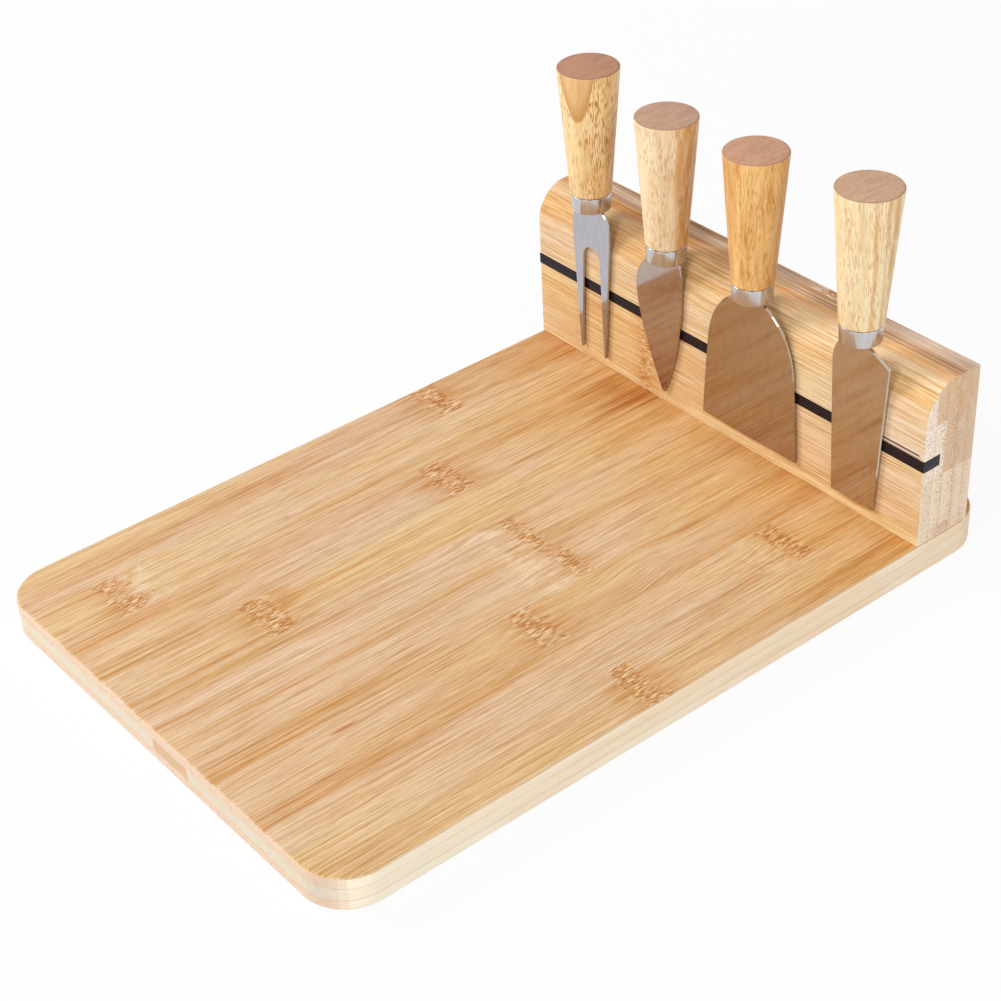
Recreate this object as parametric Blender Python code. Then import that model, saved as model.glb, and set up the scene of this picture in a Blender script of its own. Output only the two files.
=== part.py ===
# Bamboo cheese board with an upright block at one end. A magnetic strip along the block's front
# holds four cheese tools: a fork, a pointed knife, a spade knife and a flat knife.
# Metres, +Z up. The origin is the centre of the board's underside. +X runs towards the block
# and +Y towards the fork.

import math

import bpy
import bmesh

# Serving board: three plies of bamboo strips, all running along X
BOARD_LENGTH = 0.317
BOARD_WIDTH = 0.220
CORNER_RADIUS = 0.019
EDGE_ROUND = 0.0011
TOP_PLY = 0.0045
CORE_PLY = 0.0050
BOTTOM_PLY = 0.0046
FACE_STRIP_COUNT = 9
CORE_STRIP_COUNT = 10
DARK_CORE_STRIP = 6

# Upright block: plies side by side, rounded over along the front top edge
BLOCK_PLY = 0.0054
BLOCK_PLY_COUNT = 5
BLOCK_HEIGHT = 0.0698
BLOCK_SHOULDER_RADIUS = 0.015
BLOCK_EDGE_ROUND = 0.0008
BOARD_BEHIND_BLOCK = 0.0144

# Magnetic strip in its groove
MAGNET_HEIGHT = 0.0046
MAGNET_DEPTH = 0.0085
GROOVE_FLOOR_RISE = 0.0338

# Countersunk screws that hold the block from below. The outer two pass through the middle of
# this strip, counted from each long side.
SCREW_COUNT = 3
SCREW_STRIP = 2
SCREW_LENGTH = 0.045
SCREW_RADIUS = 0.0020
SCREW_POINT_LENGTH = 0.006
SCREW_HEAD_RADIUS = 0.0040
SCREW_HEAD_HEIGHT = 0.0024
SCREW_HEAD_RECESS = 0.0005
DRIVE_SLOT_LENGTH = 0.0046
DRIVE_SLOT_WIDTH = 0.0011
DRIVE_SLOT_DEPTH = 0.0013

# Handle and ferrule, the same on every tool
HANDLE_LENGTH = 0.0552
HANDLE_TOP_RADIUS = 0.0128
HANDLE_NECK_RADIUS = 0.0086
HANDLE_EDGE_ROUND = 0.0007
FERRULE_HEIGHT = 0.0068
FERRULE_RADIUS = 0.0083
FERRULE_WALL = 0.0006
FERRULE_SHOULDER_CLEARANCE = 0.0012

# Blades, stamped from one sheet, with the tang that runs up into the handle
BLADE_THICKNESS = 0.0014
BLADE_CHAMFER = 0.0004
TANG_WIDTH = 0.006
TANG_LENGTH = 0.030

# Fork. Each tool stands at its share of the board's width, and each drop is measured down from
# the ferrule.
FORK_PLACE_SHARE = 0.3360
FORK_TIP_CLEARANCE = 0.0050
FORK_LENGTH = 0.0707
FORK_NECK_WIDTH = 0.0128
FORK_WIDTH = 0.0236
FORK_SHOULDER_DROP = 0.0130
FORK_SHOULDER_SHARES = ((0.43, 0.08), (1.0, 0.38))
FORK_TIP_SPAN = 0.0162
FORK_TINE_TIP_WIDTH = 0.0014
FORK_SLOT_WIDTH = 0.0096
FORK_SLOT_DROP = 0.0200

# Pointed knife: a full back edge on the fork's side and a straighter edge on the other
POINTED_PLACE_SHARE = 0.1295
POINTED_TIP_CLEARANCE = 0.0057
POINTED_LENGTH = 0.0641
POINTED_TIP_OFFSET = 0.0013
POINTED_TIP_WIDTH = 0.0012
POINTED_FULL_NECK = 0.0078
POINTED_FULL_REACH = 0.0178
POINTED_FULL_DROP = 0.0174
POINTED_FULL_SHOULDER_SHARES = ((0.18, 0.27), (1.0, 0.45))
POINTED_FULL_EDGE_SHARES = ((0.0, 0.27), (0.51, 0.675))
POINTED_SLIM_NECK = 0.0074
POINTED_SLIM_REACH = 0.0096
POINTED_SLIM_DROP = 0.012
POINTED_SLIM_SHOULDER_SHARES = ((0.60, 0.08), (1.0, 0.36))
POINTED_SLIM_EDGE_SHARES = ((0.0, 0.383), (0.39, 0.728))

# Spade knife
SPADE_PLACE_SHARE = -0.0918
SPADE_TIP_CLEARANCE = 0.0072
SPADE_LENGTH = 0.0652
SPADE_NECK_WIDTH = 0.010
SPADE_SHOULDER_WIDTH = 0.0480
SPADE_SHOULDER_DROP = 0.028
SPADE_SHOULDER_SHARES = ((0.34, 0.11), (0.932, 0.36))
SPADE_FOOT_WIDTH = 0.0526
SPADE_FLARE_SHARES = ((0.32, 0.28), (0.80, 0.62))
SPADE_CORNER_RADIUS = 0.0009

# Flat knife: a rounded shoulder on the fork's side and a slanted one on the other
FLAT_PLACE_SHARE = -0.3468
FLAT_TIP_CLEARANCE = 0.0057
FLAT_LENGTH = 0.0730
FLAT_ROUND_NECK = 0.006
FLAT_ROUND_REACH = 0.0131
FLAT_ROUND_DROP = 0.014
FLAT_ROUND_SHARES = ((0.47, 0.23), (0.97, 0.53))
FLAT_ROUND_FOOT = 0.0105
FLAT_SLANT_NECK = 0.0036
FLAT_SLANT_START_DROP = 0.0014
FLAT_SLANT_REACH = 0.0156
FLAT_SLANT_DROP = 0.0075
FLAT_SLANT_FOOT = 0.0118
FLAT_CORNER_RADIUS = 0.0008

# Clearances between neighbours
GLUE_GAP = 0.0002
FIT_GAP = 0.0003
CUT_OVERRUN = 0.002
MERGE_DISTANCE = 0.000001

# Fineness of the round shapes
CORNER_STEPS = 10
EDGE_STEPS = 3
SHOULDER_STEPS = 10
CURVE_STEPS = 14
TURNED_STEPS = 40
SCREW_STEPS = 20
SMOOTH_ANGLE = math.radians(32)

# Colour, roughness and metallic value of each finish
BAMBOO_TONES = ((0.73, 0.45, 0.23), (0.78, 0.51, 0.28), (0.69, 0.41, 0.20))
CORE_TONE = (0.80, 0.60, 0.40)
DARK_CORE_TONE = (0.60, 0.38, 0.20)
BLOCK_TONES = ((0.78, 0.50, 0.26), (0.72, 0.50, 0.33), (0.66, 0.44, 0.28))
HANDLE_TONE = (0.82, 0.58, 0.30)
MAGNET_TONE = (0.020, 0.014, 0.017)
STEEL_TONE = (0.62, 0.60, 0.58)
SCREW_TONE = (0.55, 0.55, 0.56)
BAMBOO_FINISH = (0.50, 0.0)
HANDLE_FINISH = (0.42, 0.0)
MAGNET_FINISH = (0.55, 0.0)
STEEL_FINISH = (0.24, 1.0)

# Worked-out places
BOARD_THICKNESS = BOTTOM_PLY + GLUE_GAP + CORE_PLY + GLUE_GAP + TOP_PLY
BLOCK_THICKNESS = BLOCK_PLY_COUNT * BLOCK_PLY + (BLOCK_PLY_COUNT - 1) * GLUE_GAP
BLOCK_BACK_X = BOARD_LENGTH / 2 - BOARD_BEHIND_BLOCK
BLOCK_FRONT_X = BLOCK_BACK_X - BLOCK_THICKNESS
BLOCK_FOOT_Z = BOARD_THICKNESS + GLUE_GAP
BLOCK_TOP_Z = BLOCK_FOOT_Z + BLOCK_HEIGHT
GROOVE_FLOOR_Z = BLOCK_FOOT_Z + GROOVE_FLOOR_RISE
MAGNET_FOOT_Z = GROOVE_FLOOR_Z + GLUE_GAP
GROOVE_CEILING_Z = MAGNET_FOOT_Z + MAGNET_HEIGHT + FIT_GAP
GROOVE_BACK_X = BLOCK_FRONT_X + MAGNET_DEPTH + FIT_GAP
SCREW_X = (BLOCK_FRONT_X + BLOCK_BACK_X) / 2
TOOL_X = BLOCK_FRONT_X - FIT_GAP - BLADE_THICKNESS / 2


def clear_scene():
    for item in list(bpy.data.objects):
        bpy.data.objects.remove(item, do_unlink=True)


def make_material(name, tone, finish):
    material = bpy.data.materials.new(name)
    material.use_nodes = True
    shader = material.node_tree.nodes["Principled BSDF"]
    shader.inputs["Base Color"].default_value = (*tone, 1)
    shader.inputs["Roughness"].default_value = finish[0]
    shader.inputs["Metallic"].default_value = finish[1]
    return material


def make_object(name, shape, tone, finish, parent=None):
    mesh = bpy.data.meshes.new(name)
    shape.to_mesh(mesh)
    shape.free()
    mesh.materials.append(make_material(name, tone, finish))
    mesh.shade_smooth()
    mesh.set_sharp_from_angle(angle=SMOOTH_ANGLE)
    item = bpy.data.objects.new(name, mesh)
    item.parent = parent
    bpy.context.scene.collection.objects.link(item)
    return item


def make_cutter(name, shape, parent=None):
    mesh = bpy.data.meshes.new(name)
    shape.to_mesh(mesh)
    shape.free()
    item = bpy.data.objects.new(name, mesh)
    item.parent = parent
    item.hide_render = True
    item.display_type = "WIRE"
    bpy.context.scene.collection.objects.link(item)
    return item


def make_axis(name, place):
    axis = bpy.data.objects.new(f"{name}_axis", None)
    axis.location = place
    bpy.context.scene.collection.objects.link(axis)
    return axis


def cut_away(item, cutter):
    cut = item.modifiers.new(cutter.name, "BOOLEAN")
    cut.operation = "DIFFERENCE"
    cut.solver = "EXACT"
    cut.object = cutter


# Basic shapes

def box_shape(low, high):
    shape = bmesh.new()
    bmesh.ops.create_cube(shape, size=1)
    size = [b - a for a, b in zip(low, high)]
    centre = [(a + b) / 2 for a, b in zip(low, high)]
    bmesh.ops.scale(shape, vec=size, verts=shape.verts)
    bmesh.ops.translate(shape, vec=centre, verts=shape.verts)
    return shape


def prism_shape(outline, push):
    """Closed solid between an outline of 3-D points and the same outline moved by push."""
    shape = bmesh.new()
    face = shape.faces.new([shape.verts.new(point) for point in outline])
    grown = bmesh.ops.extrude_face_region(shape, geom=[face])
    moved = [piece for piece in grown["geom"] if isinstance(piece, bmesh.types.BMVert)]
    bmesh.ops.translate(shape, vec=push, verts=moved)
    bmesh.ops.recalc_face_normals(shape, faces=shape.faces)
    return shape


def turned_shape(profile, steps):
    """Solid of revolution about Z from a list of (radius, height) that starts and ends on the axis."""
    shape = bmesh.new()
    points = [shape.verts.new((radius, 0, height)) for radius, height in profile]
    lines = [shape.edges.new(pair) for pair in zip(points, points[1:])]
    bmesh.ops.spin(
        shape, geom=points + lines, cent=(0, 0, 0), axis=(0, 0, 1), angle=math.tau, steps=steps
    )
    bmesh.ops.remove_doubles(shape, verts=shape.verts, dist=MERGE_DISTANCE)
    bmesh.ops.recalc_face_normals(shape, faces=shape.faces)
    return shape


def arc_points(centre, radius, start, end, steps):
    """Points on a circle about centre, from angle start to angle end in degrees."""
    turns = [math.radians(start + (end - start) * step / steps) for step in range(steps + 1)]
    return [(centre[0] + radius * math.cos(turn), centre[1] + radius * math.sin(turn)) for turn in turns]


def swept_points(start, end, shares):
    """Smooth curve from start to end. Its two handles lie at shares of the box between them."""
    handles = [
        [a + share * (b - a) for a, b, share in zip(start, end, pair)]
        for pair in shares
    ]
    points = []
    for step in range(1, CURVE_STEPS + 1):
        t = step / CURVE_STEPS
        weights = ((1 - t) ** 3, 3 * t * (1 - t) ** 2, 3 * t ** 2 * (1 - t), t ** 3)
        corners = (start, *handles, end)
        points.append(tuple(sum(w * c[k] for w, c in zip(weights, corners)) for k in range(2)))
    return points


def trim(shape, place, normal):
    """Removes what lies beyond a plane, on the side that normal points to, and closes the cut."""
    everything = shape.verts[:] + shape.edges[:] + shape.faces[:]
    cut = bmesh.ops.bisect_plane(
        shape, geom=everything, plane_co=place, plane_no=normal, clear_outer=True
    )
    rim = [piece for piece in cut["geom_cut"] if isinstance(piece, bmesh.types.BMEdge)]
    if rim:
        bmesh.ops.edgeloop_fill(shape, edges=rim)
        bmesh.ops.recalc_face_normals(shape, faces=shape.faces)


def soften(shape, edges, width, steps):
    bmesh.ops.bevel(shape, geom=edges, offset=width, segments=steps, profile=0.5, affect="EDGES")


def edges_at_height(shape, height):
    return [
        edge for edge in shape.edges
        if all(abs(corner.co.z - height) < MERGE_DISTANCE for corner in edge.verts)
    ]


# Serving board

def board_outline(height):
    reach_x = BOARD_LENGTH / 2 - CORNER_RADIUS
    reach_y = BOARD_WIDTH / 2 - CORNER_RADIUS
    corners = (
        (reach_x, reach_y, 0),
        (-reach_x, reach_y, 90),
        (-reach_x, -reach_y, 180),
        (reach_x, -reach_y, 270),
    )
    points = []
    for x, y, turn in corners:
        points += arc_points((x, y), CORNER_RADIUS, turn, turn + 90, CORNER_STEPS)
    return [(x, y, height) for x, y in points]


def ply_shape(low, high, rounded_height):
    """One ply of the board. The outer edge at rounded_height is rounded over."""
    shape = prism_shape(board_outline(low), (0, 0, high - low))
    if rounded_height is not None:
        soften(shape, edges_at_height(shape, rounded_height), EDGE_ROUND, EDGE_STEPS)
    return shape


def build_strips(name, ply, count, tones):
    """Saws a ply into equal strips, numbered from the fork's side."""
    pitch = BOARD_WIDTH / count
    strips = []
    for number in range(1, count + 1):
        shape = ply.copy()
        upper = BOARD_WIDTH / 2 - (number - 1) * pitch
        lower = upper - pitch
        if number > 1:
            trim(shape, (0, upper - GLUE_GAP / 2, 0), (0, 1, 0))
        if number < count:
            trim(shape, (0, lower + GLUE_GAP / 2, 0), (0, -1, 0))
        strips.append(make_object(f"{name}_{number}", shape, tones[number % len(tones)], BAMBOO_FINISH))
    ply.free()
    return strips


def build_board():
    core_foot = BOTTOM_PLY + GLUE_GAP
    top_foot = core_foot + CORE_PLY + GLUE_GAP
    core_tones = [CORE_TONE] * CORE_STRIP_COUNT
    core_tones[DARK_CORE_STRIP % CORE_STRIP_COUNT] = DARK_CORE_TONE
    bottom_ply = ply_shape(0, BOTTOM_PLY, 0)
    core_ply = ply_shape(core_foot, core_foot + CORE_PLY, None)
    top_ply = ply_shape(top_foot, BOARD_THICKNESS, BOARD_THICKNESS)
    bottom = build_strips("bottom_strip", bottom_ply, FACE_STRIP_COUNT, BAMBOO_TONES)
    core = build_strips("core_strip", core_ply, CORE_STRIP_COUNT, core_tones)
    top = build_strips("top_strip", top_ply, FACE_STRIP_COUNT, BAMBOO_TONES)
    return bottom + core + top


# Upright block and its magnetic strip

def block_shape():
    """The whole block before it is divided into plies, rounded over at the front top."""
    shoulder = (BLOCK_FRONT_X + BLOCK_SHOULDER_RADIUS, BLOCK_TOP_Z - BLOCK_SHOULDER_RADIUS)
    crest = (BLOCK_BACK_X - BLOCK_EDGE_ROUND, BLOCK_TOP_Z - BLOCK_EDGE_ROUND)
    profile = [(BLOCK_FRONT_X, BLOCK_FOOT_Z)]
    profile += arc_points(shoulder, BLOCK_SHOULDER_RADIUS, 180, 90, SHOULDER_STEPS)
    profile += arc_points(crest, BLOCK_EDGE_ROUND, 90, 0, EDGE_STEPS)
    profile.append((BLOCK_BACK_X, BLOCK_FOOT_Z))
    end_y = BOARD_WIDTH / 2
    shape = prism_shape([(x, -end_y, z) for x, z in profile], (0, BOARD_WIDTH, 0))
    rims = []
    for edge in shape.edges:
        a, b = (corner.co for corner in edge.verts)
        at_end = abs(a.y - b.y) < MERGE_DISTANCE
        at_foot = max(a.z, b.z) < BLOCK_FOOT_Z + MERGE_DISTANCE
        if at_end and not at_foot:
            rims.append(edge)
    soften(shape, rims, BLOCK_EDGE_ROUND, EDGE_STEPS)
    return shape


def block_ply_shape(whole, number):
    front = BLOCK_FRONT_X + (number - 1) * (BLOCK_PLY + GLUE_GAP)
    shape = whole.copy()
    if number > 1:
        trim(shape, (front, 0, 0), (-1, 0, 0))
    if number < BLOCK_PLY_COUNT:
        trim(shape, (front + BLOCK_PLY, 0, 0), (1, 0, 0))
    return shape


def build_block():
    """Five plies. The groove passes right through the front one and divides it in two."""
    whole = block_shape()
    end_y = BOARD_WIDTH / 2 + CUT_OVERRUN
    groove_low = (BLOCK_FRONT_X - CUT_OVERRUN, -end_y, GROOVE_FLOOR_Z)
    groove_high = (GROOVE_BACK_X, end_y, GROOVE_CEILING_Z)
    groove = make_cutter("groove_cutter", box_shape(groove_low, groove_high))
    lower = block_ply_shape(whole, 1)
    trim(lower, (0, 0, GROOVE_FLOOR_Z), (0, 0, 1))
    upper = block_ply_shape(whole, 1)
    trim(upper, (0, 0, GROOVE_CEILING_Z), (0, 0, -1))
    plies = [
        make_object("block_front_ply_lower", lower, BLOCK_TONES[0], BAMBOO_FINISH),
        make_object("block_front_ply_upper", upper, BLOCK_TONES[0], BAMBOO_FINISH),
    ]
    for number in range(2, BLOCK_PLY_COUNT + 1):
        tone = BLOCK_TONES[number % len(BLOCK_TONES)]
        ply = make_object(f"block_ply_{number}", block_ply_shape(whole, number), tone, BAMBOO_FINISH)
        if min(corner.co.x for corner in ply.data.vertices) < GROOVE_BACK_X:
            cut_away(ply, groove)
        plies.append(ply)
    whole.free()
    return plies


def build_magnet():
    low = (BLOCK_FRONT_X, -BOARD_WIDTH / 2, MAGNET_FOOT_Z)
    high = (BLOCK_FRONT_X + MAGNET_DEPTH, BOARD_WIDTH / 2, MAGNET_FOOT_Z + MAGNET_HEIGHT)
    make_object("magnet_strip", box_shape(low, high), MAGNET_TONE, MAGNET_FINISH)


# Screws

def screw_profile(grow, foot):
    """Head, cone, shank and point, all grown by one amount. The head's face is at height foot."""
    cone_z = SCREW_HEAD_RECESS + SCREW_HEAD_HEIGHT
    tip_z = SCREW_HEAD_RECESS + SCREW_LENGTH
    return [
        (0, foot),
        (SCREW_HEAD_RADIUS + grow, foot),
        (SCREW_HEAD_RADIUS + grow, SCREW_HEAD_RECESS + grow),
        (SCREW_RADIUS + grow, cone_z + grow),
        (SCREW_RADIUS + grow, tip_z - SCREW_POINT_LENGTH + grow),
        (0, tip_z + grow),
    ]


def drive_slot_shape(length_x, length_y):
    low = (-length_x / 2, -length_y / 2, -CUT_OVERRUN)
    high = (length_x / 2, length_y / 2, SCREW_HEAD_RECESS + DRIVE_SLOT_DEPTH)
    return box_shape(low, high)


def build_screw(name, axis):
    screw_shape = turned_shape(screw_profile(0, SCREW_HEAD_RECESS), SCREW_STEPS)
    screw = make_object(name, screw_shape, SCREW_TONE, STEEL_FINISH, axis)
    slot_x = drive_slot_shape(DRIVE_SLOT_LENGTH, DRIVE_SLOT_WIDTH)
    slot_y = drive_slot_shape(DRIVE_SLOT_WIDTH, DRIVE_SLOT_LENGTH)
    cut_away(screw, make_cutter(f"{name}_slot_x", slot_x, axis))
    cut_away(screw, make_cutter(f"{name}_slot_y", slot_y, axis))


def build_screws(drilled):
    """An evenly spaced row. Each screw's hole is cut in every piece that it passes."""
    strip_pitch = BOARD_WIDTH / FACE_STRIP_COUNT
    first_y = strip_pitch * SCREW_STRIP - strip_pitch / 2 - BOARD_WIDTH / 2
    pitch = -2 * first_y / (SCREW_COUNT - 1)
    reach = SCREW_HEAD_RADIUS + FIT_GAP
    for number in range(SCREW_COUNT):
        name = f"block_screw_{number + 1}"
        place_y = first_y + number * pitch
        axis = make_axis(name, (SCREW_X, place_y, 0))
        build_screw(name, axis)
        hole = turned_shape(screw_profile(FIT_GAP, -CUT_OVERRUN), SCREW_STEPS)
        cutter = make_cutter(f"{name}_hole", hole, axis)
        for item in drilled:
            across = [corner.co.y for corner in item.data.vertices]
            if min(across) < place_y + reach and max(across) > place_y - reach:
                cut_away(item, cutter)


# Blade outlines: lists of (offset, drop), from the neck on the fork's side round to the other neck.
# The offset is along +Y from the tool's axis and the drop is measured down from the ferrule.

def flipped(points):
    return [(-offset, drop) for offset, drop in reversed(points)]


def fork_outline():
    neck = (FORK_NECK_WIDTH / 2, FIT_GAP)
    widest = (FORK_WIDTH / 2, FORK_SHOULDER_DROP)
    tip_radius = FORK_TINE_TIP_WIDTH / 2
    tip = (FORK_TIP_SPAN / 2 - tip_radius, FORK_LENGTH - tip_radius)
    slot_radius = FORK_SLOT_WIDTH / 2
    crotch = (0, FORK_SLOT_DROP + slot_radius)
    half = [neck, *swept_points(neck, widest, FORK_SHOULDER_SHARES)]
    half += arc_points(tip, tip_radius, 0, 180, CURVE_STEPS)
    half += arc_points(crotch, slot_radius, 0, -90, CURVE_STEPS)
    return half + flipped(half[:-1])


def pointed_outline():
    full_neck = (POINTED_FULL_NECK, FIT_GAP)
    full_bulge = (POINTED_FULL_REACH, POINTED_FULL_DROP)
    full_tip = (POINTED_TIP_OFFSET + POINTED_TIP_WIDTH / 2, POINTED_LENGTH)
    slim_neck = (-POINTED_SLIM_NECK, FIT_GAP)
    slim_bulge = (-POINTED_SLIM_REACH, POINTED_SLIM_DROP)
    slim_tip = (POINTED_TIP_OFFSET - POINTED_TIP_WIDTH / 2, POINTED_LENGTH)
    full = [full_neck, *swept_points(full_neck, full_bulge, POINTED_FULL_SHOULDER_SHARES)]
    full += swept_points(full_bulge, full_tip, POINTED_FULL_EDGE_SHARES)
    slim = [slim_neck, *swept_points(slim_neck, slim_bulge, POINTED_SLIM_SHOULDER_SHARES)]
    slim += swept_points(slim_bulge, slim_tip, POINTED_SLIM_EDGE_SHARES)
    return full + slim[::-1]


def spade_outline():
    neck = (SPADE_NECK_WIDTH / 2, FIT_GAP)
    shoulder = (SPADE_SHOULDER_WIDTH / 2, SPADE_SHOULDER_DROP)
    foot = (SPADE_FOOT_WIDTH / 2, SPADE_LENGTH - SPADE_CORNER_RADIUS)
    corner = (foot[0] - SPADE_CORNER_RADIUS, foot[1])
    half = [neck, *swept_points(neck, shoulder, SPADE_SHOULDER_SHARES)]
    half += swept_points(shoulder, foot, SPADE_FLARE_SHARES)
    half += arc_points(corner, SPADE_CORNER_RADIUS, 0, 90, EDGE_STEPS)[1:]
    return half + flipped(half)


def flat_outline():
    neck = (FLAT_ROUND_NECK, FIT_GAP)
    shoulder = (FLAT_ROUND_REACH, FLAT_ROUND_DROP)
    foot = FLAT_LENGTH - FLAT_CORNER_RADIUS
    round_corner = (FLAT_ROUND_FOOT - FLAT_CORNER_RADIUS, foot)
    slant_corner = (FLAT_CORNER_RADIUS - FLAT_SLANT_FOOT, foot)
    points = [neck, *swept_points(neck, shoulder, FLAT_ROUND_SHARES)]
    points += arc_points(round_corner, FLAT_CORNER_RADIUS, 0, 90, EDGE_STEPS)
    points += arc_points(slant_corner, FLAT_CORNER_RADIUS, 90, 180, EDGE_STEPS)
    points.append((-FLAT_SLANT_REACH, FLAT_SLANT_DROP))
    points.append((-FLAT_SLANT_NECK, FLAT_SLANT_START_DROP))
    points.append((-FLAT_SLANT_NECK, FIT_GAP))
    return points


# Tools: each hangs from an empty on its own lifting axis, level with the ferrule's foot

def blade_shape(outline):
    """Plate with the tang above it, its edges lightly chamfered."""
    tang = [(TANG_WIDTH / 2, -TANG_LENGTH), (TANG_WIDTH / 2, FIT_GAP)]
    points = tang + outline + flipped(tang)
    back = -BLADE_THICKNESS / 2
    shape = prism_shape([(back, offset, -drop) for offset, drop in points], (BLADE_THICKNESS, 0, 0))
    rims = [edge for edge in shape.edges if abs(edge.verts[0].co.x - edge.verts[1].co.x) < MERGE_DISTANCE]
    soften(shape, rims, BLADE_CHAMFER, 1)
    return shape


def tang_pocket_shape():
    reach_x = BLADE_THICKNESS / 2 + FIT_GAP
    reach_y = TANG_WIDTH / 2 + FIT_GAP
    return box_shape((-reach_x, -reach_y, -CUT_OVERRUN), (reach_x, reach_y, TANG_LENGTH + FIT_GAP))


def ferrule_profile():
    inner = FERRULE_RADIUS - FERRULE_WALL
    lip = FERRULE_WALL / 2
    return [
        (0, 0),
        (FERRULE_RADIUS - lip, 0),
        (FERRULE_RADIUS, lip),
        (FERRULE_RADIUS, FERRULE_HEIGHT),
        (inner, FERRULE_HEIGHT),
        (inner, FERRULE_WALL),
        (0, FERRULE_WALL),
    ]


def handle_profile():
    """Tenon inside the ferrule, shoulder, straight taper and flat top with softened rims."""
    tenon_radius = FERRULE_RADIUS - FERRULE_WALL - FIT_GAP
    tenon_z = FERRULE_WALL + FIT_GAP
    foot_z = FERRULE_HEIGHT + GLUE_GAP
    top_z = foot_z + HANDLE_LENGTH
    neck = (HANDLE_NECK_RADIUS - HANDLE_EDGE_ROUND, foot_z + HANDLE_EDGE_ROUND)
    crown = (HANDLE_TOP_RADIUS - HANDLE_EDGE_ROUND, top_z - HANDLE_EDGE_ROUND)
    profile = [(0, tenon_z), (tenon_radius, tenon_z), (tenon_radius, foot_z)]
    profile += arc_points(neck, HANDLE_EDGE_ROUND, -90, 0, EDGE_STEPS)
    profile += arc_points(crown, HANDLE_EDGE_ROUND, 0, 90, EDGE_STEPS)
    profile.append((0, top_z))
    return profile


def ferrule_foot_z(tip_clearance, length):
    """A tool hangs with its tip clear of the board, and higher where its ferrule meets the shoulder."""
    depth = TOOL_X + FERRULE_RADIUS - BLOCK_FRONT_X
    from_centre = max(BLOCK_SHOULDER_RADIUS - depth, 0)
    rise = math.sqrt(BLOCK_SHOULDER_RADIUS ** 2 - from_centre ** 2)
    shoulder_z = BLOCK_TOP_Z - BLOCK_SHOULDER_RADIUS + rise
    return max(BOARD_THICKNESS + tip_clearance + length, shoulder_z + FERRULE_SHOULDER_CLEARANCE)


def build_tool(name, place_share, tip_clearance, length, outline):
    place_y = place_share * BOARD_WIDTH
    axis = make_axis(name, (TOOL_X, place_y, ferrule_foot_z(tip_clearance, length)))
    pocket = make_cutter(f"{name}_tang_cutter", tang_pocket_shape(), axis)
    handle_shape = turned_shape(handle_profile(), TURNED_STEPS)
    ferrule_shape = turned_shape(ferrule_profile(), TURNED_STEPS)
    handle = make_object(f"{name}_handle", handle_shape, HANDLE_TONE, HANDLE_FINISH, axis)
    ferrule = make_object(f"{name}_ferrule", ferrule_shape, STEEL_TONE, STEEL_FINISH, axis)
    cut_away(handle, pocket)
    cut_away(ferrule, pocket)
    make_object(f"{name}_blade", blade_shape(outline), STEEL_TONE, STEEL_FINISH, axis)


def build_tools():
    build_tool("fork", FORK_PLACE_SHARE, FORK_TIP_CLEARANCE, FORK_LENGTH, fork_outline())
    build_tool(
        "pointed_knife", POINTED_PLACE_SHARE, POINTED_TIP_CLEARANCE, POINTED_LENGTH, pointed_outline()
    )
    build_tool("spade_knife", SPADE_PLACE_SHARE, SPADE_TIP_CLEARANCE, SPADE_LENGTH, spade_outline())
    build_tool("flat_knife", FLAT_PLACE_SHARE, FLAT_TIP_CLEARANCE, FLAT_LENGTH, flat_outline())


clear_scene()
build_screws(build_board() + build_block())
build_magnet()
build_tools()
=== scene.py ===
import math

import bpy
from mathutils import Matrix, Vector


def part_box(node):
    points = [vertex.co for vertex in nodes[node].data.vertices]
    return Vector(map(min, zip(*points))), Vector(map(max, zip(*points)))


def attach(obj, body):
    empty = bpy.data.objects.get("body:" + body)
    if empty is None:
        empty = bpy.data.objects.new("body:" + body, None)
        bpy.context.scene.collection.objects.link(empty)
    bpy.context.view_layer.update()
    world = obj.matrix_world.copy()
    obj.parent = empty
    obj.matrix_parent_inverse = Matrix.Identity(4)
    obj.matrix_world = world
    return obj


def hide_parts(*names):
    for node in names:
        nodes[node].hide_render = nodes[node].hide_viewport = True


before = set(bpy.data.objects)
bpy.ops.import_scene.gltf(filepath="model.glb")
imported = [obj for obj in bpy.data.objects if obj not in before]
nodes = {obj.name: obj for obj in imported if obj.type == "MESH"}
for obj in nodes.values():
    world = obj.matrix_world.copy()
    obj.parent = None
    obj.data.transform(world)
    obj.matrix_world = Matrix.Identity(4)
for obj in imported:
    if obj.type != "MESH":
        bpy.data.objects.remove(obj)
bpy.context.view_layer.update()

# Bamboo cheese board with a magnetic tool block. Metres, +X towards the block, +Y towards the fork.

print("frame loaded:", len(nodes), "nodes")


# Small helpers for shader nodes

def startMaterial(name):
    material = bpy.data.materials.new(name.replace("_", ""))
    material.use_nodes = True
    tree = material.node_tree
    return material, tree, tree.nodes["Principled BSDF"]


def plug(tree, source, socket):  # a link for a socket, a plain value for a number or colour
    if isinstance(source, bpy.types.NodeSocket):
        tree.links.new(source, socket)
    elif isinstance(source, tuple) and len(socket.default_value) == 4:
        socket.default_value = (*source, 1)
    else:
        socket.default_value = source


def calc(tree, operation, a, b=0.0, clamp=False):
    node = tree.nodes.new("ShaderNodeMath")
    node.operation = operation
    node.use_clamp = clamp
    plug(tree, a, node.inputs[0])
    plug(tree, b, node.inputs[1])
    return node.outputs[0]


def times(tree, a, b):
    return calc(tree, "MULTIPLY", a, b)


def plus(tree, a, b):
    return calc(tree, "ADD", a, b)


def minus(tree, a, b):
    return calc(tree, "SUBTRACT", a, b)


def gap(tree, value, place):  # how far a value is from a place, on either side
    return calc(tree, "ABSOLUTE", minus(tree, value, place))


def hypotenuse(tree, x, y):
    return calc(tree, "SQRT", plus(tree, times(tree, x, x), times(tree, y, y)))


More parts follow.
